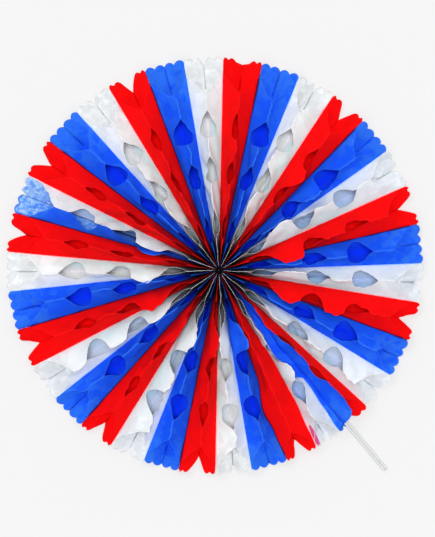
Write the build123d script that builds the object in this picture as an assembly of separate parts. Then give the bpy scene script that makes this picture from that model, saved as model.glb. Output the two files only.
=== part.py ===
from build123d import *
import os
from bisect import bisect_right
from dataclasses import dataclass
from math import cos, hypot, pi, radians, sin, sqrt

# A honeycomb tissue fan opened to a full circle. It lies on its back, with the front up (+Z).
# Sizes are in millimetres. Angles are in degrees, clockwise from +Y as seen from the front.

# Open fan
RIM_RADIUS = 300.0  # circle that the tips of the scallops reach
RIM_DRIFT = 9.0  # from the bound centre to the middle of the rim circle
RIM_DRIFT_ANGLE = 318.0  # the limp sheets lie fuller on the side away from the sticks
RIM_FOLD_HEIGHT = 14.0  # middle folds above the table, out at the rim
HUB_RADIUS = 6.0  # inner ends of the sheets
TISSUE_THICKNESS = 0.2

# Pleats. SPREAD says where the hand-opened colour boundaries stand, as (boundary number, angle),
# with the boundaries between two entries evenly spread.
PLEAT_COUNT = 34
SPREAD = (
    (0, 1.2),
    (5, 54.6),
    (12, 132.6),
    (13, 143.1),
    (15, 160.2),
    (18, 191.4),
    (22, 231.9),
    (PLEAT_COUNT, 361.2),
)
COLOUR_ORDER = ("red", "blue", "white")
STICK_PLEAT_NUMBER = 12  # the stack's two end sheets meet here, over the sticks
BLOCK_PLEAT_NUMBER = 27  # the stack's two blocks are joined here

# Die cut of the front edge: teardrop windows between glued lobes, then the opening at the rim
WINDOW_LENGTHS = (40.0, 37.0, 40.0)  # from the hub out
LOBE_SHARES = (0.276, 0.299, 0.209, 0.216)  # of the length that the windows leave, from the hub out
WINDOW_SAMPLES = (0.05, 0.18, 0.45, 0.75)
WINDOW_ROUNDNESS = 0.62  # under 1 puts the widest place nearer to the hub
OPENING_LENGTH = 43.0
OPENING_SAMPLES = (0.35, 0.7)
OPENING_SWELL = 1.36

# Die cut of the rim end
SCALLOP_DEPTH = 4.5
SCALLOPS_PER_SHEET = 2
RED_NOTCH_DEPTH = 20.0
WHITE_NOTCH_DEPTH = 9.0
RIM_MARGIN = 4.0  # from the deepest rim cut to the last bend of the folds

# Handle sticks
STICK_LINE_SHARE = 0.714  # where in their pleat they lie
STICK_WIDTH = 3.6
STICK_DEPTH = 5.0
STICK_ROOM = 1.1  # beside the stick, to the nearer middle fold, where it reaches full width
STICK_TAPER = 40.0
STICK_REACH = 375.0
STICK_EDGE_ROUND = 0.8
STICK_TIP_ROUND = 1.5
WING_SEAM_SHARE = 0.324  # the blue end sheet's front wing leans this far over the red one
WING_SEAM_BEND = 43.0

# Binding thread
THREAD_WIDTH = 1.2
THREAD_HEIGHT = 3.0
THREAD_CLEARANCE = 0.1


@dataclass(frozen=True)
class DieCut:
    """What differs between the colours: how wide the windows are cut, and the notch at the rim."""

    window_width: float  # share of the half sheet that a window takes
    notch_depth: float
    notch_start: float  # share of the half sheet, from the fold, where the notch begins


DIE_CUTS = {
    "red": DieCut(window_width=0.38, notch_depth=RED_NOTCH_DEPTH, notch_start=0.45),
    "blue": DieCut(window_width=0.75, notch_depth=0.0, notch_start=0.7),
    "white": DieCut(window_width=0.62, notch_depth=WHITE_NOTCH_DEPTH, notch_start=0.7),
}


def boundary_angle(number):
    """Angle of a colour boundary, counted clockwise from the top."""
    entry = bisect_right([first for first, _ in SPREAD[:-1]], number) - 1
    (first, start), (second, end) = SPREAD[entry : entry + 2]
    return start + (end - start) * (number - first) / (second - first)


def angle_in_pleat(number, share):
    """Angle at a share of a pleat's width."""
    return boundary_angle(number) * (1 - share) + boundary_angle(number + 1) * share


def half_pitch_chord(radius):
    """Distance from a middle fold to the ridge beside it, seen from above, in an even pleat."""
    return 2 * radius * sin(pi / PLEAT_COUNT / 2)


# Worked out from the sizes above: the sheets are as wide as it takes to stand RIM_FOLD_HEIGHT
# above the table at the rim, and the sticks widen only where the pleat has room for them.
SHEET_HALF_WIDTH = hypot(half_pitch_chord(RIM_RADIUS), RIM_FOLD_HEIGHT)
DEEPEST_CUT = SCALLOP_DEPTH + max(die.notch_depth for die in DIE_CUTS.values())
RIM_BEND = RIM_RADIUS - RIM_DRIFT - DEEPEST_CUT - RIM_MARGIN
STICK_ANGLE = angle_in_pleat(STICK_PLEAT_NUMBER, STICK_LINE_SHARE)
STICK_SIDE_ANGLE = radians(boundary_angle(STICK_PLEAT_NUMBER + 1) - STICK_ANGLE)
STICK_SHOULDER = (STICK_WIDTH + STICK_ROOM) / sin(STICK_SIDE_ANGLE)
STICK_POINT = STICK_SHOULDER - STICK_TAPER


def fold_height(radius):
    """Height of a middle fold: the sheets stand upright at the hub and lie over at the rim."""
    return sqrt(SHEET_HALF_WIDTH**2 - half_pitch_chord(radius) ** 2)


def rim_radius(angle):
    """Distance from the bound centre to the rim circle, whose middle has drifted."""
    off = radians(angle - RIM_DRIFT_ANGLE)
    return RIM_DRIFT * cos(off) + sqrt(RIM_RADIUS**2 - (RIM_DRIFT * sin(off)) ** 2)


def plan(radius, angle, aside=0.0):
    """Point seen from above: out along an angle, then aside, clockwise."""
    turn = radians(angle)
    return radius * sin(turn) + aside * cos(turn), radius * cos(turn) - aside * sin(turn)


def stick_width_at(radius):
    """Width of a stick, which comes to a point inside the fan."""
    return STICK_WIDTH * min(max((radius - STICK_POINT) / STICK_TAPER, 0.0), 1.0)


@dataclass(frozen=True)
class EdgeLine:
    """Plan of a sheet's long edge: from mid-pleat at the hub to a bend, then straight out."""

    hub_angle: float
    angle: float
    bend: float = HUB_RADIUS
    stick_side: int = 0  # 1 or -1 where the edge lies along the side of a stick

    def at(self, radius):
        """Point of the line."""
        if radius >= self.bend:
            return plan(radius, self.angle, self.stick_side * stick_width_at(radius))
        share = (radius - HUB_RADIUS) / (self.bend - HUB_RADIUS)
        (x0, y0), (x1, y1) = plan(HUB_RADIUS, self.hub_angle), plan(self.bend, self.angle)
        return x0 + (x1 - x0) * share, y0 + (y1 - y0) * share


def windows():
    """Start and end of each window, spaced by the glued lobes."""
    lobes_length = RIM_RADIUS - OPENING_LENGTH - HUB_RADIUS - sum(WINDOW_LENGTHS)
    spans, start = [], HUB_RADIUS
    for length, lobe in zip(WINDOW_LENGTHS, LOBE_SHARES):
        start += lobe * lobes_length
        spans.append((start, start + length))
        start += length
    return spans


def front_edge(rim_end, die):
    """Cut front edge from hub to rim, as (radius, share of the half sheet from the fold)."""
    points = [(HUB_RADIUS, 1.0)]
    for start, end in windows():
        points.append((start, 1.0))
        for part in WINDOW_SAMPLES:
            depth = sin(pi * part**WINDOW_ROUNDNESS)
            points.append((start + (end - start) * part, 1.0 - die.window_width * depth))
        points.append((end, 1.0))
    opening_start = RIM_RADIUS - OPENING_LENGTH
    points.append((opening_start, 1.0))
    for part in OPENING_SAMPLES:
        points.append((opening_start + (rim_end - opening_start) * part, 1.0 - part**OPENING_SWELL))
    return points + [(rim_end, 0.0)]


def rim_cut(share, die):
    """How far the rim end is cut back: scallops, and a notch towards the back edge."""
    scallop = SCALLOP_DEPTH * abs(cos(pi * SCALLOPS_PER_SHEET * share))
    return scallop + die.notch_depth * max(0.0, share - die.notch_start) / (1 - die.notch_start)


def back_edge(fold_angle, edge_angle, stations, die):
    """Straight back edge from the hub out, then the scalloped rim end back to the fold."""
    points = [(radius, 1.0) for radius in stations]
    steps = 2 * SCALLOPS_PER_SHEET
    for share in (step / steps for step in range(steps, -1, -1)):
        angle = fold_angle + (edge_angle - fold_angle) * share
        points.append((rim_radius(angle) - rim_cut(share, die), share))
    return points


def band(fold, edge):
    """Triangles between the fold and a cut edge, both listed from the hub out.

    The side of a window that comes back to the long edge is joined to the bend of the fold
    beyond it, because the bend before it doesn't see that side.
    """
    triangles, i, j = [], 0, 0
    while i < len(fold) - 1 or j < len(edge) - 1:
        if j == len(edge) - 1:
            on_fold = True
        elif i == len(fold) - 1:
            on_fold = False
        else:
            comes_back = edge[j + 1][1] > edge[j][1] and fold[i][0] < edge[j + 1][0]
            on_fold = comes_back or fold[i + 1][0] <= edge[j + 1][0]
        triangles.append((fold[i], edge[j], fold[i + 1] if on_fold else edge[j + 1]))
        i, j = (i + 1, j) if on_fold else (i, j + 1)
    return triangles


def sheet_facets(fold_angle, front_line, back_line, die):
    """Facets of one tissue sheet: a cut front wing and a plain back wing, on either side of the fold.

    The flat die cut is drawn as (radius, share), where share runs from the middle fold to the
    long edge. Each facet is carried onto the outer and the inner face of the open sheet.
    """
    inward = 1 if back_line.hub_angle > fold_angle else -1

    def spot(radius, share, side, depth):
        """Point of the sheet in the open fan.

        side is 1 on the front wing and -1 on the back. depth is 0 on the outer face and 1 on the
        inner one, which lies level beside it. The two sheets' inner faces meet at the long edges.
        """
        height = fold_height(radius)
        fold_x, fold_y = plan(radius, fold_angle)
        edge_x, edge_y = (front_line if side > 0 else back_line).at(radius)
        wall = inward * TISSUE_THICKNESS * SHEET_HALF_WIDTH / height
        wall_x, wall_y = plan(0.0, fold_angle, wall * (depth - share))
        return (
            fold_x + (edge_x - fold_x) * share + wall_x,
            fold_y + (edge_y - fold_y) * share + wall_y,
            height * (1 + side * share),
        )

    stations = [HUB_RADIUS, *(end for _, end in windows()), RIM_BEND]
    if back_line.stick_side:
        stations = sorted([*stations, STICK_POINT, STICK_SHOULDER])
    fold = [(radius, 0.0) for radius in stations]
    back = back_edge(fold_angle, back_line.angle, stations, die)
    front = front_edge(back[-1][0], die)

    facets = []
    for side, edge in ((1, front), (-1, back)):
        for triangle in band(fold, edge):
            for depth in (0, 1):
                facets.append([spot(*point, side, depth) for point in triangle])
        outline = [fold[0], *edge]
        for start, end in zip(outline, outline[1:]):
            near, far, far_inner, near_inner = (
                spot(*point, side, depth) for point, depth in ((start, 0), (end, 0), (end, 1), (start, 1))
            )
            facets += [[near, far, far_inner], [near, far_inner, near_inner]]
    return facets


def sheet(fold_angle, front_line, back_line, die):
    """One tissue sheet folded along its middle, as a solid."""
    facets = sheet_facets(fold_angle, front_line, back_line, die)
    return Solid(Shell([Face(Wire.make_polygon(corners)) for corners in facets]))


def pleat(number):
    """The two sheets of a pleat, as {node name: solids}."""
    middle = angle_in_pleat(number, 0.5)
    front = back_left = back_right = EdgeLine(middle, middle)
    if number == STICK_PLEAT_NUMBER:
        seam = angle_in_pleat(number, WING_SEAM_SHARE)
        front = EdgeLine(middle, seam, WING_SEAM_BEND)
        back_left = EdgeLine(middle, STICK_ANGLE, STICK_POINT, -1)
        back_right = EdgeLine(middle, STICK_ANGLE, STICK_POINT, 1)

    # The colours run on from pleat to pleat, and a mixed pleat uses up two of them
    mixed = number in (STICK_PLEAT_NUMBER, BLOCK_PLEAT_NUMBER)
    turn = number + (number > STICK_PLEAT_NUMBER) + (number > BLOCK_PLEAT_NUMBER)
    left, right = (COLOUR_ORDER[step % len(COLOUR_ORDER)] for step in (turn, turn + mixed))

    sheets = [
        sheet(boundary_angle(number), front, back_left, DIE_CUTS[left]),
        sheet(boundary_angle(number + 1), front, back_right, DIE_CUTS[right]),
    ]
    name = f"pleat_{number + 1:02d}"
    if mixed:
        return {f"{name}_{left}_sheet": sheets[:1], f"{name}_{right}_sheet": sheets[1:]}
    return {f"{name}_{left}": sheets}


def stick(side):
    """Handle stick: it comes to a point between the end sheets and reaches past the rim."""
    outline = [(0, STICK_POINT), (STICK_WIDTH, STICK_SHOULDER), (STICK_WIDTH, STICK_REACH), (0, STICK_REACH)]
    blank = extrude(make_face(Polyline(*[(side * x, y) for x, y in outline], close=True)), STICK_DEPTH)
    upright = blank.edges().filter_by(Axis.Z)
    tip_corner = upright.sort_by(lambda edge: edge.center().Y + side * edge.center().X)[-1]
    blank = fillet(tip_corner, STICK_TIP_ROUND)
    front = blank.faces().sort_by(Axis.Z)[-1]
    return fillet(front.edges().filter_by(Axis.Y), STICK_EDGE_ROUND).rotate(Axis.Z, -STICK_ANGLE)


def centre_thread():
    """Turns of thread, drawn tight, that bind the inner ends of the sheets at mid height."""
    outer = HUB_RADIUS - THREAD_CLEARANCE
    ring = extrude(Circle(outer) - Circle(outer - THREAD_WIDTH), THREAD_HEIGHT)
    return ring.moved(Location((0, 0, fold_height(HUB_RADIUS) - THREAD_HEIGHT / 2)))


def main():
    """Write one STEP file for each node."""
    os.makedirs("parts", exist_ok=True)
    nodes = {
        "red_side_stick": [stick(-1)],
        "blue_side_stick": [stick(1)],
        "centre_thread": [centre_thread()],
    }
    for number in range(PLEAT_COUNT):
        nodes.update(pleat(number))
    for name, solids in nodes.items():
        export_step(solids[0] if len(solids) == 1 else Compound(children=solids), f"parts/{name}.step")


if __name__ == "__main__":
    main()
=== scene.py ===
"""Looks of a honeycomb tissue fan that lies open on a pale floor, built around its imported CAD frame.

All lengths are in metres. Clock angles are in degrees, clockwise from +Y as seen from the front (+Z).
A sheet is folded along its middle. Its front wing rises from the fold to the front ridge, where it
is glued to the other sheet of its pleat, and its back wing falls to the floor. A place on a wing is
given by its radius and its share, which runs from 0 at the fold to 1 at the long edge.
"""

from __future__ import annotations

import logging
import math
from dataclasses import dataclass, field
from enum import Enum

import bmesh
import bpy
import numpy as np
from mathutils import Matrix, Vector

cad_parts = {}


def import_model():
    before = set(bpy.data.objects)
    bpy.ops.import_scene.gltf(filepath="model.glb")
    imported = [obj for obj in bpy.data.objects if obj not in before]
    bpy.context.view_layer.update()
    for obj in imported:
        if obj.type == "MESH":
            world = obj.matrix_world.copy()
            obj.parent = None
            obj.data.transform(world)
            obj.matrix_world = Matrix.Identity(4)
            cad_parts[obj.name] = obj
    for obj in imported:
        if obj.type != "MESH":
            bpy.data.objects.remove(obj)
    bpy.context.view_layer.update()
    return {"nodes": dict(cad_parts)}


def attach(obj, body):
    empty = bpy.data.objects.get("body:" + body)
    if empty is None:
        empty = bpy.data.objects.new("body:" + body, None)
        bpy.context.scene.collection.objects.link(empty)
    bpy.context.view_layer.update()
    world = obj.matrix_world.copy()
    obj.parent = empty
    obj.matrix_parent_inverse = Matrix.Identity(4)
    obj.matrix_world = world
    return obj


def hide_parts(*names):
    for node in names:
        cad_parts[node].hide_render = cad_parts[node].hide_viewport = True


log = logging.getLogger("tissue_fan")

Array = np.ndarray
Span = tuple[float, float]
Tone = tuple[float, float, float, float]
Socket = bpy.types.NodeSocket
Feed = Socket | float | tuple


class Colour(Enum):
    """Dye of a tissue sheet, in the order in which the pleats follow each other clockwise."""

    RED = "red"
    BLUE = "blue"
    WHITE = "white"


@dataclass(frozen=True)
class DieCut:
    """What differs between the colours in the die cut."""

    window_width: float  # share of the wing that a window takes at its widest
    window_shift: float  # how much farther out the windows lie than in the plan
    notch_depth: float  # depth of the notch where the two back wings meet at the rim
    notch_start: float  # share at which the notch begins
    cusps: tuple[float, ...]  # shares of the cusps between the scallops, from the fold


DIE_CUTS = {
    Colour.RED: DieCut(0.31, 0.001, 0.0195, 0.62, (0.0, 0.25, 0.62)),
    Colour.BLUE: DieCut(0.76, -0.003, 0.0, 0.9, (0.0, 0.5, 1.0)),
    Colour.WHITE: DieCut(0.64, 0.003, 0.0075, 0.78, (0.0, 0.5, 1.0)),
}

# How far the front ridge leans, in degrees clockwise, at the inner, the middle and the outer lobe
LEANS = (
    (0.9, 1.2, 0.2), (0.8, 0.8, 0.5), (-3.0, -2.5, -1.0), (0.0, 3.8, 0.5), (2.0, 3.0, 1.2),
    (-7.0, -1.5, -0.8), (10.8, 1.8, 0.6), (2.6, 1.5, 0.6), (-2.4, 1.2, 0.0), (8.7, 5.7, 0.6),
    (3.0, 1.7, 1.3), (2.6, 1.0, 2.6), (3.8, 0.3, -0.3), (0.0, -3.6, 0.0), (0.0, 0.0, 0.0),
    (-6.7, 0.0, 0.0), (3.0, 0.5, -1.6), (-5.3, -0.8, -0.2), (0.8, 0.8, 0.0), (-7.5, -3.6, -2.6),
    (-4.5, 0.0, 0.0), (2.6, 1.0, 0.8), (-6.0, -3.3, -2.1), (-7.8, 0.0, 0.0), (1.3, 1.7, 0.8),
    (-7.5, -0.7, -0.7), (-2.0, 0.0, 0.0), (-8.7, 0.0, 0.0), (0.0, 0.0, 0.0), (0.0, 1.5, 0.3),
    (-3.3, -1.2, 0.0), (0.0, 0.0, 0.0), (0.5, 1.0, 1.0), (-1.0, -0.5, 0.0),
)
# The same for a sheet that parts from the other one of its pleat, by pleat and side
OWN_LEANS = {(27, 1): (-4.5, 0.0, 0.0)}
# Radii at which a crowded fold near the sticks strays, and by how many degrees clockwise
FOLD_DRIFTS = {
    13: (
        (0.0, 0.060, 0.110, 0.165, 0.180, 0.197, 0.210, 0.245, 0.280),
        (0.0, 1.5, 3.2, 3.9, 3.0, -1.2, -1.2, -0.5, 0.0),
    ),
    14: ((0.0, 0.080, 0.142, 0.212, 0.260, 0.300), (0.0, -1.5, -2.7, -2.0, -1.0, -0.5)),
    15: ((0.0, 0.160, 0.210, 0.245, 0.290), (0.0, 0.0, 2.4, 0.8, 0.0)),
}
# What else the photo shows of single sheets, by pleat and side, and of single pleats
WINDOW_SCALES = {(12, 1): 0.56, (14, 0): 0.0, (14, 1): 0.0}
BLOCK_MOTTLES = (((0.112, 0.4),), ((0.112, 0.168), (0.24, 0.4)))
VEILS = {5: 0.38, 8: 0.42, 11: 0.28, 13: 0.5, 19: 0.26, 22: 0.25, 27: 0.25}
CLOSED_NOTCHES = (0,)

# Grid columns up to the first window, over a window, between two, over the rim's opening and past it
HUB_COLUMNS, WINDOW_COLUMNS, LOBE_COLUMNS, OPENING_COLUMNS, RIM_COLUMNS = 16, 23, 14, 19, 6
WINDOW_CROWDING = 1.35  # power that draws columns to a window's start
# Rows of the back wing, those of the front wing from the fold to the cut, and those of a pressed one
BACK_ROWS = 15
FRONT_ROWS = (0.08, 0.2, 0.33, 0.46, 0.59, 0.72, 0.83, 0.91, 0.965, 1.0)
ROWS_TO_FURROW = (0.4, 0.8, 0.9, 1.0)
ROWS_PAST_FURROW = (0.1, 0.3, 0.55, 0.8, 0.93, 1.0)
LEAST_SQUARE = 1e-8  # keeps the root of a height real
CREASE_SPREAD = (0.7, 1.5)  # least and greatest distance of creases, to the usual one
CUT_SEED, WIGGLE_SEED = 500, 77  # added to a sheet's seed, and times its pleat
MERGE_DISTANCE, SHORTEST_EDGE, SHARP_ANGLE = 2e-6, 1e-7, math.radians(48)


@dataclass(frozen=True)
class FanPlan:
    """Sizes that every sheet shares, and where its places lie in the open fan."""

    pleat_count: int = 34
    rim_radius: float = 0.300
    rim_drift: float = 0.009  # from the bound centre to the rim circle's middle
    rim_drift_angle: float = 318.0
    rim_fold_height: float = 0.014
    inner_radius: float = 0.0008
    rim_bend: float = 0.262  # radius past which the columns stretch to the rim
    windows: tuple[Span, ...] = ((0.043, 0.084), (0.121, 0.159), (0.186, 0.226))
    opening_start: float = 0.251
    opening_end: float = 0.2855
    scallop_depth: float = 0.0045
    stick_pleat: int = 12  # where the two ends of the stack meet over the sticks
    block_pleat: int = 27  # where two blocks of the stack are joined
    stick_angle: float = 140.1
    seam_angle: float = 135.9  # of the front ridge over the sticks
    seam_bend: float = 0.043  # radius from which it has that angle
    spread: tuple[tuple[int, float], ...] = (
        (0, 1.2), (5, 54.6), (12, 132.6), (13, 143.1), (15, 160.2), (18, 191.4), (22, 231.9), (34, 361.2),
    )  # clock angles of boundaries, the others evenly between

    @property
    def wing(self) -> float:
        """Width of a wing, from the fold to the long edge."""
        return math.hypot(self.half_chord(self.rim_radius), self.rim_fold_height)

    @property
    def lobes(self) -> list[float]:
        """Radii of the middles of the three glued lobes."""
        stops = [start for start, _ in self.windows[1:]] + [self.opening_start]
        return [(a + b) / 2 for (_, a), b in zip(self.windows, stops)]

    def half_chord(self, radius: Array | float) -> Array | float:
        """Distance in plan from a fold to the ridge beside it, in an even pleat."""
        return 2 * radius * math.sin(math.pi / self.pleat_count / 2)

    def fold_height(self, radius: Array) -> Array:
        """Height of the folds: the wings stand upright at the centre and lie over at the rim."""
        return np.sqrt(np.maximum(self.wing**2 - self.half_chord(radius) ** 2, LEAST_SQUARE))

    def boundary(self, number: float) -> float:
        """Clock angle of a colour boundary, counted from the one nearest to the top."""
        return float(np.interp(number, *zip(*self.spread)))

    def fold_line(self, number: int, radius: Array) -> Array:
        """Clock angles along a colour boundary, with the drift of a crowded fold."""
        drift = FOLD_DRIFTS.get(number)
        return self.boundary(number) + (eased(radius, *drift) if drift else np.zeros_like(radius))

    def rim_at(self, angle: Array) -> Array:
        """Radius of the rim circle, whose middle has drifted, at a clock angle in degrees.

        It is d cos a + sqrt(R^2 - (d sin a)^2), with a counted from the drift's angle.

        Args:
            angle: clock angles.

        Returns:
            The distances from the bound centre.
        """
        off = np.radians(angle - self.rim_drift_angle)
        aside = self.rim_drift * np.sin(off)
        return self.rim_drift * np.cos(off) + np.sqrt(self.rim_radius**2 - aside**2)


@dataclass(frozen=True)
class PaperHabits:
    """How the tissue hangs, creases and curls, and where shade is painted on it, alike in all sheets.

    A reach or a start is a radius up to or from which something is so.
    """

    closed_notch: float = 0.15  # part of its depth that a closed notch keeps
    cut_wave: float = 0.045  # share of the wing by which the cut stands past the glue line
    wave_per_lean: float = 0.004  # more of it for each degree that the ridge leans
    wave_length: float = 0.006
    lean_start: float = 0.025
    early_leans: Span = (0.1, 0.3)  # there and at the first window, to the inner lobe's
    window_lean: float = 0.2  # at the others, to what the lobes beside lean together
    wiggle: float = 0.12  # of a ridge, to the half chord
    wiggle_reach: float = 0.07
    wiggle_length: float = 0.011
    drop: float = 0.12  # part of its fall that a leaning ridge sinks
    widest_reach: float = 0.97  # how far a wing can lie over, to its width
    furrow_aside: float = 0.6  # degrees clockwise from the sticks to the furrow
    furrow_width: float = 0.03  # share of the wing
    furrow_start: float = 0.1
    furrow_limit: float = 0.8  # part of the way to the cut that it keeps within
    crease_height: float = 0.0024
    crease_length: float = 0.016
    crease_start: float = 0.12
    lip_width: float = 0.0008  # of the margin that is bent over beyond the ridge
    lip_start: float = 0.94  # share of the cut
    lip_fade: float = 0.05
    lip_limit: float = 0.3  # part of the half chord
    lip_rises: Span = (0.25, -0.1)  # of the left and the right sheet's margin, to its width
    hub_lip: float = 0.0003  # width near the hub, where white margins curl outwards
    hub_reach: float = 0.098
    hub_fade: float = 0.012
    mottle_fade: float = 0.004
    mottle_strength: float = 0.9
    rim_margin: float = 0.0022  # width of the edge's tone
    cut_margin: float = 0.0018
    veil_in_front: float = 0.2  # part of the veil on a front wing
    veil_at_rim: float = 0.15  # and on a back wing at the rim's opening
    # Painted shade of the crowded middle, where the deep valleys lie in shade: its reach on a ridge, to the
    # darker side and in a valley, and its strength
    gloom_start: float = 0.009
    gloom_reach: float = 0.056
    gloom_on_white: float = 1.5
    gloom_parts: tuple[float, float, float] = (0.95, 0.2, 0.4)  # on a ridge, to the dark side, in a valley
    gloom_side: float = 205.0  # clock angle of the dark side
    gloom_strength: float = 1.35
    darkest: float = 0.985


def clock_point(radius: Array, angle: Array) -> Array:
    """Point in plan at a radius and a clock angle in degrees: (r sin a, r cos a)."""
    turn = np.radians(angle)
    return np.stack([radius * np.sin(turn), radius * np.cos(turn)], axis=-1)


def eased(x: Array, xs: tuple[float, ...], ys: tuple[float, ...]) -> Array:
    """Curve through knots with a level tangent at each: y0 + (y1 - y0) t^2 (3 - 2t) between two.

    Args:
        x: where the curve is wanted.
        xs: rising places of the knots.
        ys: heights of the knots.

    Returns:
        The heights at x.
    """
    knots, heights = np.asarray(xs), np.asarray(ys)
    i = np.clip(np.searchsorted(knots, x, side="right") - 1, 0, len(knots) - 2)
    t = np.clip((x - knots[i]) / (knots[i + 1] - knots[i]), 0.0, 1.0)
    return heights[i] + (heights[i + 1] - heights[i]) * t * t * (3 - 2 * t)


def ripple(a: Array, b: Array, seed: int, length: float, count: int) -> Array:
    """Creased unevenness of about -1 to 1: a sum of triangle waves in seeded directions.

    Each wave is asin(sin(k . (a, b) + phase)) / (pi / 2), whose slopes meet in sharp creases.

    Args:
        a: first coordinate on the flat sheet.
        b: second coordinate on the flat sheet.
        seed: number that picks the directions and phases.
        length: usual distance from crease to crease.
        count: how many waves are added.

    Returns:
        The sum, divided by the square root of the count.
    """
    rng = np.random.default_rng(seed)
    total = np.zeros(np.broadcast(a, b).shape)
    for _ in range(count):
        way, phase = rng.uniform(0, math.tau, 2)
        k = math.pi / (length * rng.uniform(*CREASE_SPREAD))
        total += np.arcsin(np.sin(k * (a * math.cos(way) + b * math.sin(way)) + phase)) / (math.pi / 2)
    return total / math.sqrt(count)


def linked(name: str, data: bpy.types.ID) -> bpy.types.Object:
    """Make an object of a mesh, a camera or a lamp, and link it to the scene."""
    made = bpy.data.objects.new(name, data)
    bpy.context.scene.collection.objects.link(made)
    return made


@dataclass(frozen=True)
class TissueSheet:
    """One die-cut tissue sheet, folded along its middle, as it stands in the open fan."""

    plan: FanPlan
    colour: Colour
    beside: Colour  # the sheet beyond the fold
    pleat: int
    fold: int  # number of its boundary
    middle_angle: float  # clock angle of its back edge
    ridge_angle: float  # clock angle of its front ridge, less the lean
    lean: tuple[float, float, float]
    seed: int
    bow: float = 0.0  # how much the front wing bulges between the fold and the ridge
    furrow: float = 0.0  # depth of the furrow that the stick presses into it
    window_scale: float = 1.0  # how much of their width the windows keep
    parted: bool = False  # the other sheet of the pleat has another colour
    mottled: tuple[Span, ...] = ()  # radii where the back wing shows the other colour
    notched: bool = True
    opening_curve: float = 1.27
    veil: float = 0.0  # how much of a blue sheet is seen through the windows
    habits: PaperHabits = PaperHabits()

    @property
    def cut(self) -> DieCut:
        """Die cut of this colour."""
        return DIE_CUTS[self.colour]

    def columns(self) -> Array:
        """Radii of the grid's columns at the fold, close together where the die cut turns."""
        plan, end = self.plan, self.rim_end(np.zeros(1))[0]
        windows = self.windows()
        crowded = np.linspace(0.0, 1.0, WINDOW_COLUMNS) ** WINDOW_CROWDING
        following = [start for start, _ in windows[1:]] + [plan.opening_start]
        parts = [np.linspace(plan.inner_radius, windows[0][0], HUB_COLUMNS)]
        for (start, stop), after in zip(windows, following):
            parts.append(start + (stop - start) * crowded)
            parts.append(np.linspace(stop, after, LOBE_COLUMNS))
        parts.append(np.linspace(plan.opening_start, plan.opening_end, OPENING_COLUMNS))
        parts.append(np.linspace(plan.opening_end, end, RIM_COLUMNS))
        return np.unique(np.round(np.concatenate(parts), 7))

    def windows(self) -> list[Span]:
        """Radii between which this colour's windows lie."""
        shift = self.cut.window_shift
        return [(start + shift, stop + shift) for start, stop in self.plan.windows]

    def rim_end(self, share: Array) -> Array:
        """Radius at which the back wing ends: the rim circle, less the scallops and the notch.

        A scallop is depth * (1 - sin(pi t)^0.8) between two cusps, and the notch a straight ramp.

        Args:
            share: share across the back wing.

        Returns:
            The radii.
        """
        plan, cut = self.plan, self.cut
        fold = plan.boundary(self.fold)
        angle = fold + (self.middle_angle - fold) * share
        t = np.interp(share, cut.cusps, range(len(cut.cusps))) % 1.0
        bumps = plan.scallop_depth * (1 - np.sin(np.pi * t) ** 0.8)
        ramp = np.clip((share - cut.notch_start) / (1 - cut.notch_start), 0, 1)
        left = 1.0 if self.notched else self.habits.closed_notch
        return plan.rim_at(angle) - bumps - cut.notch_depth * ramp * left

    def front_cut(self, radius: Array) -> Array:
        """Share at which the front wing is cut off.

        In a window it is 1 - width * sin(pi t^0.62) * (1 - t^6 / 2), round towards the hub and
        drawn out to a tip towards the rim. At the rim's opening it is (1 - t)^curve. Elsewhere the
        edge stands a little past the glue line, by a seeded wave.

        Args:
            radius: radii of the columns.

        Returns:
            The shares.
        """
        plan, habits = self.plan, self.habits
        wave = 0.0 if self.parted else habits.cut_wave + habits.wave_per_lean * max(map(abs, self.lean))
        uneven = ripple(radius, 0 * radius, self.seed + CUT_SEED, habits.wave_length, 2)
        share = 1 + wave * (0.5 + 0.5 * uneven)
        width = self.cut.window_width * self.window_scale + wave
        for start, stop in self.windows():
            t = np.clip((radius - start) / (stop - start), 0, 1)
            share -= width * np.sin(np.pi * t**0.62) * (1 - 0.5 * t**6)
        t = np.clip((radius - plan.opening_start) / (plan.opening_end - plan.opening_start), 0, 1)
        return share * (1 - t) ** self.opening_curve

    def ridge_shift(self, radius: Array) -> Array:
        """How far the front ridge leans clockwise: eased from lobe to lobe, with a seeded wiggle.

        Args:
            radius: distance from the bound centre.

        Returns:
            The distances, as seen from above.
        """
        plan, habits, (inner, middle, outer) = self.plan, self.habits, self.lean
        mids = [(a + b) / 2 for a, b in plan.windows]
        early, first = (part * inner for part in habits.early_leans)
        near, far = habits.window_lean * (inner + middle), habits.window_lean * (middle + outer)
        places = [place for pair in zip(mids, plan.lobes) for place in pair]
        knots = (0.0, habits.lean_start, *places, plan.rim_radius)
        leans = eased(radius, knots, (0.0, early, first, inner, near, middle, far, outer, 0.0))
        widest = habits.wiggle * plan.half_chord(np.minimum(radius, habits.wiggle_reach))
        wiggle = widest * ripple(radius, 0 * radius, WIGGLE_SEED * self.pleat, habits.wiggle_length, 3)
        return radius * np.radians(leans) + wiggle * (radius < plan.opening_end)

    def front_rows(self, radius: Array, cut: Array) -> Array:
        """Shares of the front wing's grid rows. One row of a pressed wing runs along the furrow.

        Args:
            radius: radii of the columns.
            cut: share at which each column is cut off.

        Returns:
            The shares, row by row.
        """
        if not self.furrow:
            return np.array(FRONT_ROWS)[:, None] * cut[None]
        line = np.minimum(self.furrow_share(radius), self.habits.furrow_limit * cut)
        near = np.array(ROWS_TO_FURROW)[:, None] * line[None]
        far = line + np.array(ROWS_PAST_FURROW)[:, None] * (cut - line)[None]
        return np.concatenate([near, far])

    def furrow_share(self, radius: Array) -> Array:
        """Share of the point on the bulging wing that lies over the stick.

        It is the root s of s + bow s (1 - s) = the part of the way from the fold to the ridge.

        Args:
            radius: distance from the bound centre.

        Returns:
            The shares.
        """
        fold = self.plan.fold_line(self.fold, radius)
        part = (fold - self.plan.stick_angle - self.habits.furrow_aside) / (fold - self.ridge_angle)
        k = (1 + self.bow) / (2 * self.bow)
        return k - np.sqrt(k * k - part / self.bow)

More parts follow.
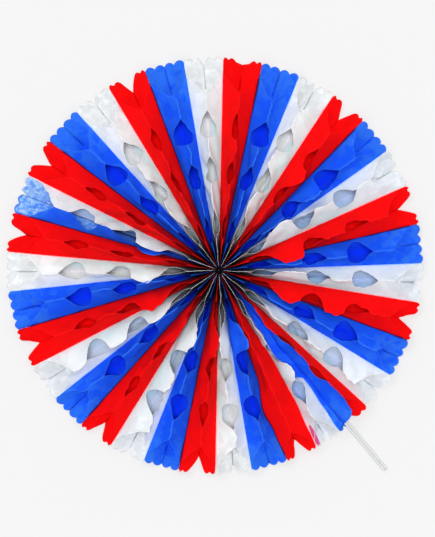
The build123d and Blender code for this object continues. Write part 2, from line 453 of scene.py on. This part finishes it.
    def place(self, radius: Array, share: Array, side: int) -> Array:
        """Points of a wing in the row frame.

        Seen from above a point lies at fold + (edge - fold) (s + bow s (1 - s)), and on the front
        wing the ridge's lean adds shift * s^2. Its height is h (1 + side s), less what a leaning
        ridge drops. The furrow is depth * exp(-((s - middle) / width)^2). Creases are added square
        to the wing, and fade out at the fold, at the glued edge and to the hub.

        Args:
            radius: distance from the bound centre.
            share: from 0 at the fold to 1 at the long edge.
            side: 1 on the front wing and -1 on the back wing.

        Returns:
            The points, with x, y and z on the last axis.
        """
        plan, habits = self.plan, self.habits
        height = plan.fold_height(radius)
        shift, angle, part = np.zeros_like(radius), np.full_like(radius, self.middle_angle), share
        if side > 0:
            bend = np.clip((radius - plan.inner_radius) / (plan.seam_bend - plan.inner_radius), 0, 1)
            angle = self.middle_angle + (self.ridge_angle - self.middle_angle) * bend
            shift = self.ridge_shift(radius)
            part = share + self.bow * share * (1 - share)
        fold, edge = clock_point(radius, plan.fold_line(self.fold, radius)), clock_point(radius, angle)
        turn = np.radians(angle)
        aside = np.stack([np.cos(turn), -np.sin(turn)], axis=-1)
        xy = fold + (edge - fold) * part[..., None] + aside * (shift * share**2)[..., None]
        reach = np.minimum(plan.half_chord(radius) + np.abs(shift), habits.widest_reach * plan.wing)
        drop = habits.drop * (height - np.sqrt(plan.wing**2 - reach**2)) * (np.abs(shift) > 0)
        z = height * (1 + side * share) - drop * share**2
        if side > 0 and self.furrow:
            off = (share - self.furrow_share(radius)) / habits.furrow_width
            z -= self.furrow * np.exp(-(off**2)) * np.clip(radius / habits.furrow_start, 0, 1)

        inward = math.copysign(1.0, self.middle_angle - plan.boundary(self.fold))
        fade = np.sin(np.pi * np.clip(share, 0, 1)) ** 0.7 * np.clip(radius / habits.crease_start, 0, 1)
        uneven = ripple(radius, share * plan.wing, self.seed + 1 + side, habits.crease_length, 3)
        crease = habits.crease_height * fade * uneven
        slope = plan.half_chord(radius) / plan.wing
        xy = xy + aside * (inward * crease * np.sqrt(1 - slope**2))[..., None]
        return np.concatenate([xy, (z + side * crease * slope)[..., None]], axis=-1)

    def lip(self, radius: Array, cut: Array, ridge: Array) -> Array:
        """Outer edge of the margin that is bent over: along the glued lobes to the side where the
        ridge leans, and on a white sheet near the hub outwards, and there along the windows too.

        Args:
            radius: radii of the columns.
            cut: share at which each column is cut off.
            ridge: points of the front wing's last row.

        Returns:
            One row of points.
        """
        habits, right = self.habits, self.fold != self.pleat
        hub = np.clip((habits.hub_reach - radius) / habits.hub_fade, 0, 1) * (self.colour is Colour.WHITE)
        glued = np.clip((cut - habits.lip_start) / habits.lip_fade, 0, 1) * (not self.parted)
        widest = habits.lip_width * (1 - hub) * glued + habits.hub_lip * hub * (1 - 0.5 * glued)
        wide = np.minimum(widest, habits.lip_limit * self.plan.half_chord(radius))
        # The sine decides for an upright ridge, alike in both sheets of a pleat
        leaning = 1 if sum(self.lean) + 0.1 * math.sin(self.pleat) > 0 else -1
        way = leaning * (1 - hub) + (1 if right else -1) * hub
        turn = math.radians(self.ridge_angle)
        rise = np.full_like(radius, habits.lip_rises[right])
        return ridge + wide[:, None] * np.stack([way * math.cos(turn), -way * math.sin(turn), rise], axis=-1)

    def gloom(self, radius: Array, share: Array) -> Array:
        """How much painted shade a place in the crowded middle takes, where the deep valleys lie in shade:
        strength * (1 - t^2 (3 - 2 t)), up to the darkest.

        Args:
            radius: distance from the bound centre.
            share: share across the wing.

        Returns:
            The parts of full painted shade.
        """
        habits, (ridge, side, valley) = self.habits, self.habits.gloom_parts
        aside = math.cos(math.radians(self.ridge_angle - habits.gloom_side))
        times = habits.gloom_on_white if self.colour is Colour.WHITE else 1.0
        end = habits.gloom_reach * times * (ridge + side * aside + valley * (1 - np.abs(share)))
        t = np.clip((radius - habits.gloom_start) / (end - habits.gloom_start), 0, 1)
        return np.minimum(habits.darkest, habits.gloom_strength * (1 - t * t * (3 - 2 * t)))

    def facts(self, share: Array, reach: Array, edge: Array) -> dict[str, Array]:
        """What the points tell their material. A mottled range fades inside its ends.

        Args:
            share: share across the wing, negative on the back wing.
            reach: distance from the bound centre.
            edge: 1 at a cut edge, faded to 0 over its margin.

        Returns:
            A number for each point, by attribute name.
        """
        plan, habits = self.plan, self.habits
        on_back = np.where(reach < plan.opening_start, 1.0, habits.veil_at_rim)
        mottled = np.zeros_like(reach)
        for start, stop in self.mottled:
            to_end = np.minimum(reach - start, stop - reach)
            mottled = np.maximum(mottled, np.clip(to_end / habits.mottle_fade, 0, 1))
        told = {
            "edge": edge,
            "share": share,
            "reach": reach / plan.rim_radius,
            "gloom": self.gloom(reach, share),
            "mottled": habits.mottle_strength * (share < 0) * mottled,
            "veil": self.veil * np.where(share > 0, habits.veil_in_front, on_back),
            "beside_red": np.full(share.shape, float(self.beside is Colour.RED)),
            "beside_blue": np.full(share.shape, float(self.beside is Colour.BLUE)),
        }
        return {key: value.ravel() for key, value in told.items()}

    def surface(self) -> tuple[Array, Array, dict[str, Array]]:
        """The sheet as one grid whose rows run from the back edge over the fold to the front cut.

        Returns:
            The points, the corners of the quads, and by name what each point tells its material.
        """
        plan, habits, radii = self.plan, self.habits, self.columns()
        back = np.linspace(1.0, 0.0, BACK_ROWS)
        rim, end = self.rim_end(back)[:, None], self.rim_end(np.zeros(1))[0]
        stretch = np.clip((radii - plan.rim_bend) / (end - plan.rim_bend), 0, 1)
        back_share = np.repeat(back[:, None], len(radii), 1)
        back_radius = radii[None] + (rim - end) * stretch[None]
        cut = self.front_cut(radii)
        front_share = self.front_rows(radii, cut)
        front = self.place(np.repeat(radii[None], len(front_share), 0), front_share, 1)
        front = np.concatenate([front, self.lip(radii, cut, front[-1])[None]])
        front_share = np.concatenate([front_share, front_share[-1:]])
        front_radius = np.repeat(radii[None], len(front_share), 0)

        points = np.concatenate([self.place(back_radius, back_share, -1), front])
        to_rim = (rim - back_radius) / habits.rim_margin
        to_cut = (cut[None] - front_share) * plan.wing / habits.cut_margin
        edge = np.maximum(0, 1 - np.concatenate([to_rim, to_cut]))
        share = np.concatenate([-back_share, front_share])
        facts = self.facts(share, np.concatenate([back_radius, front_radius]), edge)
        rows, cols = points.shape[:2]
        i, j = np.meshgrid(np.arange(rows - 1), np.arange(cols - 1), indexing="ij")
        corner = (i * cols + j).ravel()
        quads = np.stack([corner, corner + 1, corner + cols + 1, corner + cols], axis=-1)
        if self.middle_angle > plan.boundary(self.fold):
            quads = quads[:, ::-1]
        return points.reshape(-1, 3), quads, facts


def new_mesh(name: str, points: Array, quads: Array, facts: dict[str, Array]) -> bpy.types.Object:
    """Make an object of a grid's points and quads, and merge the points that fall together.

    Args:
        name: name of the object.
        points: places of the vertices.
        quads: four corners of each face.
        facts: numbers for each vertex, by attribute name.

    Returns:
        The object, linked to the scene.
    """
    mesh = bpy.data.meshes.new(name)
    mesh.vertices.add(len(points))
    mesh.vertices.foreach_set("co", points.astype(np.float32).ravel())
    mesh.loops.add(quads.size)
    mesh.loops.foreach_set("vertex_index", quads.astype(np.int32).ravel())
    mesh.polygons.add(len(quads))
    mesh.polygons.foreach_set("loop_start", np.arange(0, quads.size, 4, dtype=np.int32))
    mesh.update(calc_edges=True)
    for key, values in facts.items():
        mesh.attributes.new(key, "FLOAT", "POINT").data.foreach_set("value", values.astype(np.float32))
    work = bmesh.new()
    work.from_mesh(mesh)
    bmesh.ops.remove_doubles(work, verts=work.verts, dist=MERGE_DISTANCE)
    bmesh.ops.dissolve_degenerate(work, edges=work.edges, dist=SHORTEST_EDGE)
    work.to_mesh(mesh)
    work.free()
    mesh.polygons.foreach_set("use_smooth", np.ones(len(mesh.polygons), dtype=bool))
    mesh.set_sharp_from_angle(angle=SHARP_ANGLE)
    return linked(name, mesh)


class Nodes:
    """A node tree that is written one node at a time."""

    def __init__(self, tree: bpy.types.NodeTree) -> None:
        """Start with an empty tree."""
        self.tree = tree
        tree.nodes.clear()

    def add(
        self, kind: str, inputs: dict[str | int, Feed] | None = None, **settings: object
    ) -> bpy.types.Node:
        """Add a node, set its properties, and set or link its inputs.

        Args:
            kind: type name of the node.
            inputs: for an input's name or number, a value or the socket that feeds it.
            settings: properties of the node.

        Returns:
            The node.
        """
        node = self.tree.nodes.new(kind)
        for key, value in settings.items():
            setattr(node, key, value)
        for key, value in (inputs or {}).items():
            if isinstance(value, Socket):
                self.tree.links.new(value, node.inputs[key])
            else:
                node.inputs[key].default_value = value
        return node

    def place(self) -> Socket:
        """Place of a point in its object's own frame."""
        return self.add("ShaderNodeTexCoord").outputs["Object"]

    def fact(self, name: str) -> Socket:
        """Number that the mesh tells by an attribute."""
        return self.add("ShaderNodeAttribute", attribute_name=name).outputs["Fac"]

    def math(self, operation: str, a: Feed, b: Feed = 0.0) -> Socket:
        """Result of an operation on one or two numbers."""
        return self.add("ShaderNodeMath", {0: a, 1: b}, operation=operation).outputs[0]

    def times(self, a: Feed, b: Feed) -> Socket:
        """Product of two numbers."""
        return self.math("MULTIPLY", a, b)

    def noise(self, spot: Feed, scale: float, detail: float, roughness: float) -> Socket:
        """Value of a noise at a place."""
        inputs = {"Vector": spot, "Scale": scale, "Detail": detail, "Roughness": roughness}
        return self.add("ShaderNodeTexNoise", inputs).outputs["Fac"]

    def ramp(self, value: Feed, start: float, stop: float, low: float = 0.0, high: float = 1.0) -> Socket:
        """Value mapped smoothly from start..stop to low..high, and held there."""
        inputs = {0: value, 1: start, 2: stop, 3: low, 4: high}
        return self.add("ShaderNodeMapRange", inputs, interpolation_type="SMOOTHSTEP").outputs[0]

    def mix(self, part: Feed, a: Feed, b: Feed, how: str = "MIX") -> Socket:
        """Colour a mixed with colour b by a part."""
        inputs = {0: part, 6: a, 7: b}
        return self.add("ShaderNodeMix", inputs, data_type="RGBA", blend_type=how).outputs[2]

    def coat(self, colour: Feed, roughness: float, height: Feed, bump: Span, **more: Feed) -> Socket:
        """Shader of a surface that a height makes uneven, by a bump's strength and distance."""
        made = self.add("ShaderNodeBump", {"Height": height, "Strength": bump[0], "Distance": bump[1]})
        inputs = {"Base Color": colour, "Normal": made.outputs[0], "Roughness": roughness} | more
        return self.add("ShaderNodeBsdfPrincipled", inputs).outputs[0]


def new_material(name: str) -> tuple[bpy.types.Material, Nodes]:
    """Make a material, and give it and its tree, which has no nodes yet."""
    made = bpy.data.materials.new(name)
    made.use_nodes = True
    return made, Nodes(made.node_tree)


# Inputs of the tissue's node group
TONE_INPUTS = (
    "Dye", "Inside", "Hub shade tone", "Rim", "Edge", "Fold shadow and tint by red", "Fold shadow and tint by blue", "In red light", "In blue light",
)
LIT_RIDGE_INPUT = "Lit ridge in the shade"

# Where red dye has come through a white sheet at the rim: a slim ellipse, turned clockwise
STAIN_PLACE = (0.1386, -0.2402, 0.0)
STAIN_TURN = math.radians(154)
STAIN_SIZE = (0.0032, 0.023, 10.0)
STAIN_TONE = (0.74, 0.1, 0.33, 1.0)
# Mottles: one tone in the inner part and a mix of two farther out
INNER_MOTTLE = (0.075, 0.11, 0.3, 1.0)
OUTER_MOTTLES = ((0.07, 0.27, 0.85, 1.0), (0.48, 0.72, 0.92, 1.0))
VEIL_TONE = (0.08, 0.37, 0.88, 1.0)
# Painted black of the very centre
PAINTED_BLACK = (0.0, 0.0, 0.0, 1.0)


def tissue_group() -> bpy.types.NodeTree:
    """Group for what all tissue shares: its fibres, its crumples, what shines through it and the light and
    shade painted on it.

    Inputs are the dye, its painted shade tones inside the pleats and in the depth, its tone at the rim and
    at a cut edge, the tones along a fold with a red or a blue sheet beyond (a painted shadow on red and
    blue, and on white what shows through and painted reflected light), the painted tones for a red one's and
    a blue one's reflected light, and how much of a ridge keeps its lit tone, a painted light, in the depth.
    It puts out the colour and a height for a bump. A reach is a radius as a part of the rim radius.

    Returns:
        The group.
    """
    group = bpy.data.node_groups.new("crepe_tissue", "ShaderNodeTree")
    sockets = [(name, "INPUT", "Color") for name in TONE_INPUTS] + [(LIT_RIDGE_INPUT, "INPUT", "Float")]
    for name, way, kind in [*sockets, ("Colour", "OUTPUT", "Color"), ("Height", "OUTPUT", "Float")]:
        group.interface.new_socket(name, in_out=way, socket_type=f"NodeSocket{kind}")
    n = Nodes(group)
    given, spot = n.add("NodeGroupInput").outputs, n.place()
    reach, side_share = n.fact("reach"), n.fact("share")
    share = n.math("ABSOLUTE", side_share)
    beside_red, beside_blue = n.fact("beside_red"), n.fact("beside_blue")

    # The dye: uneven and paler in patches and specks; at the rim a rim tone, paler on blue and, on red and
    # white, a painted shade on the flat, most lit rim; on the back wings inside the pleats a painted shade
    # tone
    clouds = n.noise(spot, 32.0, 4.0, 0.62)
    uneven = n.ramp(clouds, 0.3, 0.7, 0.93, 1.03)
    speckled = n.ramp(n.noise(spot, 150.0, 3.0, 0.7), 0.35, 0.68)
    cells = {"Vector": spot, "Scale": 75.0, "Smoothness": 0.12}
    patches = n.add("ShaderNodeTexVoronoi", cells, feature="SMOOTH_F1")
    patched = n.ramp(patches.outputs["Color"], 0.25, 0.75, -0.28, 0.34)
    at_rim = n.ramp(n.math("ADD", reach, n.times(clouds, 0.25)), 0.86, 1.1)
    at_rim = n.times(at_rim, n.math("ADD", 0.55, n.times(speckled, 0.6)))
    rim_toned = n.mix(n.math("ADD", at_rim, patched), given["Dye"], given["Rim"])
    # Inside the pleats the back wings take a painted shade tone
    inside = n.times(n.math("LESS_THAN", side_share, 0.0), n.ramp(reach, 0.78, 0.84, 1.0, 0.0))
    dyed = n.mix(1.0, n.mix(inside, rim_toned, given["Inside"]), uneven, "MULTIPLY")
    mottles = n.mix(n.ramp(reach, 0.54, 0.58), INNER_MOTTLE, n.mix(speckled, *OUTER_MOTTLES))
    dyed = n.mix(n.fact("mottled"), dyed, mottles)

    # Painted tones for the neighbour's reflected light, most near the fold and inwards, and a blue sheet
    # seen through a window
    lit = n.times(n.ramp(share, 0.15, 1.0, 1.0, 0.1), n.ramp(reach, 0.45, 0.95, 1.0, 0.0))
    reddest = n.times(lit, n.ramp(reach, 0.35, 0.75, 0.6, 1.0))
    dyed = n.mix(n.times(reddest, beside_red), dyed, given["In red light"])
    dyed = n.mix(n.times(lit, beside_blue), dyed, given["In blue light"])
    dyed = n.mix(n.fact("veil"), dyed, VEIL_TONE)

    # Along the fold a tone by the neighbour: on red and blue a painted shadow line in the valley, on white
    # what shines through near the fold and, from a blue one, painted reflected blue light across the wing
    # towards the middle; and the stain
    near_fold = n.ramp(share, 0.0, 0.09, 1.0, 0.0)
    wide = n.times(n.ramp(share, 0.0, 0.8, 1.0, 0.0), n.ramp(reach, 0.2, 0.6, 0.6, 0.0))
    blue, red = n.times(n.math("MAXIMUM", near_fold, wide), beside_blue), n.times(near_fold, beside_red)
    tinted = n.mix(red, n.mix(blue, dyed, given["Fold shadow and tint by blue"]), given["Fold shadow and tint by red"])
    turned = {"Location": STAIN_PLACE, "Rotation": (0.0, 0.0, -STAIN_TURN), "Scale": STAIN_SIZE}
    ellipse = n.add("ShaderNodeMapping", {"Vector": spot} | turned, vector_type="TEXTURE").outputs[0]
    lens = n.add("ShaderNodeTexGradient", {"Vector": ellipse}, gradient_type="SPHERICAL")
    stained = n.times(n.ramp(lens.outputs["Fac"], 0.0, 0.12), beside_red)
    tinted = n.mix(stained, tinted, STAIN_TONE)

    # Painted shade of the dark middle, whose deep valleys lie in shade, where only ridges and cut edges are
    # seen, and at the very centre painted black
    clear = n.ramp(reach, 0.015, 0.04)
    # Painted light: ridges keep their lit tone over the painted shade, and fade to black at the very centre
    ridge = n.times(n.ramp(side_share, 0.94, 1.0), n.times(clear, given[LIT_RIDGE_INPUT]))
    # depth: the part of painted shade that a place takes, less on a ridge
    depth = n.times(n.fact("gloom"), n.math("SUBTRACT", 1.0, ridge))
    shaded = n.mix(depth, tinted, n.mix(n.ramp(reach, 0.008, 0.03), PAINTED_BLACK, given["Hub shade tone"]))
    # In the middle only ridges keep the edge tone: painted light along edges that catch the light
    shown = n.times(n.math("MAXIMUM", n.ramp(reach, 0.08, 0.3), given[LIT_RIDGE_INPUT]), clear)
    colour = n.mix(n.times(n.fact("edge"), shown), shaded, given["Edge"])

    fibres = n.noise(spot, 700.0, 2.0, 0.7)
    crumple = n.add("ShaderNodeTexVoronoi", {"Vector": spot, "Scale": 48.0}, feature="F1")
    height = n.math("ADD", n.times(fibres, 0.1), crumple.outputs["Distance"])
    n.add("NodeGroupOutput", {"Colour": colour, "Height": height})
    return group


@dataclass(frozen=True)
class TissueFinish:
    """Matt crepe tissue of one dye, which lets light through.

    A sheet never lies beside one of its own dye, so red and blue lack the tones for that.
    """

    dye: Tone
    # painted shade tone inside the pleats
    inside: Tone
    # painted shade tone of the crowded middle
    hub_shade_tone: Tone
    # paler on blue; on red and white darker, a painted shade on the flat, most lit rim
    rim: Tone
    # tone along cut edges, which in the middle only ridges keep, as painted light
    edge: Tone
    # how much of a ridge keeps its lit tone in the painted shade: painted light
    lit_ridge_in_shade: float
    fold_shadow_and_tint_by_red: Tone | None = None
    fold_shadow_and_tint_by_blue: Tone | None = None
    in_red_light: Tone | None = None
    in_blue_light: Tone | None = None
    see_through: float = 0.28
    roughness: float = 0.9
    crumple: Span = (0.5, 0.0012)  # strength and distance of the bump

    def material(self, name: str, group: bpy.types.NodeTree) -> bpy.types.Material:
        """Make the material. Light passes both faces of a sheet, so each face takes half the dye.

        Args:
            name: name of the material.
            group: the shared tissue group.

        Returns:
            The material.
        """
        made, n = new_material(name)
        tissue = n.add("ShaderNodeGroup", node_tree=group)
        alone = (self.dye, self.inside, self.hub_shade_tone, self.rim, self.edge)
        beside = (self.fold_shadow_and_tint_by_red, self.fold_shadow_and_tint_by_blue, self.in_red_light, self.in_blue_light)
        for socket, tone in zip(TONE_INPUTS, alone + beside, strict=True):
            tissue.inputs[socket].default_value = tone or self.dye
        tissue.inputs[LIT_RIDGE_INPUT].default_value = self.lit_ridge_in_shade
        colour, height = tissue.outputs
        front = n.coat(colour, self.roughness, height, self.crumple, **{"Specular IOR Level": 0.12})
        half = n.add("ShaderNodeGamma", {"Color": colour, "Gamma": 0.5})
        through = n.add("ShaderNodeBsdfTranslucent", {"Color": half.outputs[0]})
        both = n.add("ShaderNodeMixShader", {0: self.see_through, 1: front, 2: through.outputs[0]})
        n.add("ShaderNodeOutputMaterial", {"Surface": both.outputs[0]})
        return made


TISSUES = {
    Colour.RED: TissueFinish(
        dye=(0.96, 0.001, 0.002, 1),
        inside=(0.9, 0.001, 0.002, 1),
        hub_shade_tone=(0.03, 0.0, 0.001, 1),
        rim=(0.9, 0.001, 0.002, 1),
        edge=(0.94, 0.004, 0.006, 1),
        # painted shadow along the fold beside blue
        fold_shadow_and_tint_by_blue=(0.12, 0.0, 0.02, 1),
        in_blue_light=(0.96, 0.001, 0.001, 1),
        lit_ridge_in_shade=0.12,
    ),
    Colour.BLUE: TissueFinish(
        dye=(0.006, 0.1, 0.94, 1),
        inside=(0.003, 0.055, 0.95, 1),
        hub_shade_tone=(0.001, 0.003, 0.035, 1),
        rim=(0.027, 0.18, 0.86, 1),
        edge=(0.03, 0.18, 0.9, 1),
        # painted shadow along the fold beside red
        fold_shadow_and_tint_by_red=(0.002, 0.005, 0.12, 1),
        in_red_light=(0.006, 0.11, 0.94, 1),
        lit_ridge_in_shade=0.12,
    ),
    Colour.WHITE: TissueFinish(
        dye=(0.915, 0.94, 0.95, 1),
        inside=(0.875, 0.845, 0.88, 1),
        hub_shade_tone=(0.035, 0.035, 0.042, 1),
        rim=(0.745, 0.768, 0.785, 1),
        edge=(0.84, 0.85, 0.86, 1),
        # red shows through along the fold; the blue tone is partly what shows through and partly painted
        # reflected light
        fold_shadow_and_tint_by_red=(0.93, 0.45, 0.52, 1),
        fold_shadow_and_tint_by_blue=(0.5, 0.72, 0.94, 1),
        # painted counter-tints that offset the red and the blue light which the neighbours throw
        in_red_light=(0.52, 0.95, 0.965, 1),
        in_blue_light=(0.9, 0.965, 0.86, 1),
        lit_ridge_in_shade=0.9,
    ),
}


@dataclass
class Pleats:
    """All pleats of the fan, each made of two sheets. Pleats and sides are counted from 0."""

    plan: FanPlan = field(default_factory=FanPlan)
    paper_thickness: float = 0.00012
    # The front wing that the stick presses out of its line
    stick_bow: float = 0.95
    stick_furrow: float = 0.006
    stick_opening: float = 0.35

    def colours(self, number: int) -> tuple[Colour, Colour]:
        """Colours of a pleat's left and right sheet. A mixed pleat uses up two of the order."""
        order, plan = list(Colour), self.plan
        number %= plan.pleat_count
        mixed = number in (plan.stick_pleat, plan.block_pleat)
        turn = number + (number > plan.stick_pleat) + (number > plan.block_pleat)
        return order[turn % len(order)], order[(turn + mixed) % len(order)]

    def sheet(self, number: int, side: int) -> TissueSheet:
        """One sheet of a pleat.

        Args:
            number: the pleat, counted clockwise from the top.
            side: 0 for the left and 1 for the right sheet.

        Returns:
            The sheet.
        """
        plan, pressed = self.plan, (number, side) == (self.plan.stick_pleat, 1)
        middle = ridge = (plan.boundary(number) + plan.boundary(number + 1)) / 2
        if number == plan.stick_pleat:
            middle, ridge = plan.stick_angle, plan.seam_angle
        return TissueSheet(
            plan=plan,
            colour=self.colours(number)[side],
            beside=self.colours(number + 2 * side - 1)[1 - side],
            pleat=number,
            fold=number + side,
            middle_angle=middle,
            ridge_angle=ridge,
            lean=OWN_LEANS.get((number, side), LEANS[number]),
            seed=10 * number + 3 * side,
            bow=self.stick_bow * pressed,
            furrow=self.stick_furrow * pressed,
            window_scale=WINDOW_SCALES.get((number, side), 1.0),
            parted=number in (plan.stick_pleat, plan.block_pleat),
            mottled=BLOCK_MOTTLES[side] if number == plan.block_pleat else (),
            notched=number not in CLOSED_NOTCHES,
            opening_curve=self.stick_opening if pressed else TissueSheet.opening_curve,
            veil=VEILS.get(number, 0.0),
        )

    def build(self) -> list[bpy.types.Object]:
        """Make one piece in the place of each CAD node of the pleats."""
        group = tissue_group()
        dyed = {dye: finish.material(f"{dye.value}_tissue", group) for dye, finish in TISSUES.items()}
        pieces = []
        for number in range(self.plan.pleat_count):
            pair = [self.sheet(number, side) for side in (0, 1)]
            name = f"pleat_{number + 1:02d}"
            if pair[0].colour is pair[1].colour:
                jobs = {f"{name}_{pair[0].colour.value}": pair}
            else:
                jobs = {f"{name}_{sheet.colour.value}_sheet": [sheet] for sheet in pair}
            for node, sheets in jobs.items():
                pieces.append(self.piece(node, sheets, dyed[sheets[0].colour]))
        return pieces

    def piece(self, node: str, sheets: list[TissueSheet], material: bpy.types.Material) -> bpy.types.Object:
        """Make the piece that stands for a node.

        Args:
            node: name of the CAD node.
            sheets: one or two sheets.
            material: their tissue.

        Returns:
            The piece.
        """
        points, quads, facts = zip(*(sheet.surface() for sheet in sheets))
        starts = np.cumsum([0] + [len(p) for p in points[:-1]])
        quads = np.concatenate([q + start for q, start in zip(quads, starts)])
        told = {key: np.concatenate([one[key] for one in facts]) for key in facts[0]}
        made = new_mesh(f"tissue_{node}", np.concatenate(points), quads, told)
        paper = made.modifiers.new("paper", "SOLIDIFY")
        paper.thickness = self.paper_thickness
        paper.offset = -1.0
        made.data.materials.append(material)
        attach(made, "root")
        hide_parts(node)
        return made


@dataclass(frozen=True)
class PlainFinish:
    """Finish of one colour, whose tone and bump follow a texture."""

    name: str
    colour: Tone
    roughness: float
    texture: str  # type of its node
    inputs: dict[str, float]
    tones: tuple[float, float, float, float]  # from two values of the texture to two tones
    bump: Span  # strength and distance
    settings: dict[str, str] = field(default_factory=dict)

    def material(self) -> bpy.types.Material:
        """Make the material."""
        made, n = new_material(self.name)
        pattern = n.add(self.texture, {"Vector": n.place()} | self.inputs, **self.settings).outputs["Fac"]
        tone = n.ramp(pattern, *self.tones)
        shader = n.coat(n.mix(1.0, self.colour, tone, "MULTIPLY"), self.roughness, pattern, self.bump)
        n.add("ShaderNodeOutputMaterial", {"Surface": shader})
        return made


# Matt pale plastic of the sticks, with a faint grain
PLASTIC = PlainFinish(
    name="satin_plastic",
    colour=(0.5, 0.51, 0.515, 1),
    roughness=0.5,
    texture="ShaderNodeTexNoise",
    inputs={"Scale": 420.0, "Detail": 2.0},
    tones=(0.3, 0.7, 0.93, 1.03),
    bump=(0.15, 0.0002),
)
# Off-white cotton, wound in turns along Z. A turn is 2 pi / (20 scale) high, which is 1.9 mm
COTTON = PlainFinish(
    name="cotton_thread",
    colour=(0.78, 0.76, 0.7, 1),
    roughness=0.85,
    texture="ShaderNodeTexWave",
    inputs={"Scale": 500 / 3, "Distortion": 0.6, "Detail": 1.0},
    tones=(0.0, 1.0, 0.7, 1.0),
    bump=(0.6, 0.0004),
    settings={"bands_direction": "Z"},
)


@dataclass
class Handle:
    """The two sticks and the binding thread, which keep their CAD shape."""

    sticks: tuple[str, str] = ("red_side_stick", "blue_side_stick")
    thread: str = "centre_thread"

    def dress(self, nodes: dict[str, bpy.types.Object]) -> list[bpy.types.Object]:
        """Give the CAD nodes their finishes.

        Args:
            nodes: the frame's nodes by name.

        Returns:
            The dressed nodes.
        """
        plastic, cotton = PLASTIC.material(), COTTON.material()
        finishes = {name: plastic for name in self.sticks} | {self.thread: cotton}
        for name, finish in finishes.items():
            slots = nodes[name].data.materials
            slots.clear()
            slots.append(finish)
        return [nodes[name] for name in finishes]


@dataclass(frozen=True)
class Lamp:
    """A wide, far lamp."""

    name: str
    strength: float
    width: float  # degrees of sky that it fills
    way: tuple[float, float, float]  # where its light goes


@dataclass
class Studio:
    """Pale floor, soft light and the overhead camera."""

    picture_size: tuple[int, int] = (435, 537)
    metres_per_pixel: float = 0.001432
    hub_pixel: Span = (218.8, 270.3)
    camera_height: float = 2.6
    measured_height: float = 0.02  # height above the floor at which the scale holds
    sensor_width: float = 36.0
    floor_side: float = 6.0
    floor_depth: float = 0.0005
    floor_tone: Tone = (0.612, 0.612, 0.612, 1)
    floor_glow: float = 0.04
    world_light: float = 0.42
    lamps: tuple[Lamp, ...] = (
        Lamp("overhead_light", 3.04, 18.0, (0.02, -0.03, -1.0)),
        Lamp("side_light", 0.28, 16.0, (0.62, -0.72, -0.95)),
    )

    def camera(self) -> None:
        """Set the camera straight above the picture's middle, with the picture's scale."""
        wide, high = self.picture_size
        lens = bpy.data.cameras.new("overhead")
        lens.sensor_width = self.sensor_width
        span = high * self.metres_per_pixel
        lens.lens = self.sensor_width * (self.camera_height - self.measured_height) / span
        made = linked("overhead", lens)
        aside, up = wide / 2 - self.hub_pixel[0], self.hub_pixel[1] - high / 2
        made.location = (aside * self.metres_per_pixel, up * self.metres_per_pixel, self.camera_height)
        bpy.context.scene.camera = made

    def floor(self) -> None:
        """Lay a pale floor just under the fan, a little brighter to the camera than it is."""
        half = self.floor_side / 2
        corners = [(-half, -half, 0), (half, -half, 0), (half, half, 0), (-half, half, 0)]
        mesh = bpy.data.meshes.new("floor")
        mesh.from_pydata(corners, [], [(0, 1, 2, 3)])
        made = linked("floor", mesh)
        made.location.z = -self.floor_depth
        material, n = new_material("pale_floor")
        path = n.add("ShaderNodeLightPath").outputs
        straight = n.math("MAXIMUM", path["Is Glossy Ray"], path["Is Transmission Ray"])
        seen = n.math("MAXIMUM", path["Is Camera Ray"], straight)
        glow = {"Emission Color": (1, 1, 1, 1), "Emission Strength": n.times(seen, self.floor_glow)}
        matt = {"Base Color": self.floor_tone, "Roughness": 0.9, "Specular IOR Level": 0.1}
        shader = n.add("ShaderNodeBsdfPrincipled", matt | glow)
        n.add("ShaderNodeOutputMaterial", {"Surface": shader.outputs[0]})
        mesh.materials.append(material)

    def light(self) -> None:
        """Light the scene from all round, from straight above and a little from the upper left."""
        world = bpy.data.worlds.new("studio")
        bpy.context.scene.world = world
        world.use_nodes = True
        n = Nodes(world.node_tree)
        sky = n.add("ShaderNodeBackground", {"Color": (1, 1, 1, 1), "Strength": self.world_light})
        n.add("ShaderNodeOutputWorld", {"Surface": sky.outputs[0]})
        for lamp in self.lamps:
            light = bpy.data.lights.new(lamp.name, "SUN")
            light.energy = lamp.strength
            light.angle = math.radians(lamp.width)
            made = linked(lamp.name, light)
            made.rotation_euler = Vector(lamp.way).to_track_quat("-Z", "Y").to_euler()

    def set_up(self) -> None:
        """Set the camera, the floor, the light and the plain view transform."""
        self.camera()
        self.floor()
        self.light()
        bpy.context.scene.view_settings.view_transform = "Standard"


def main() -> None:
    logging.basicConfig(level=logging.INFO, format="%(name)s: %(message)s")
    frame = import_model()
    Studio().set_up()
    for piece in Pleats().build() + Handle().dress(frame["nodes"]):
        log.info("%s: %d faces, %s", piece.name, len(piece.data.polygons), piece.data.materials[0].name)


if __name__ == "__main__":
    main()
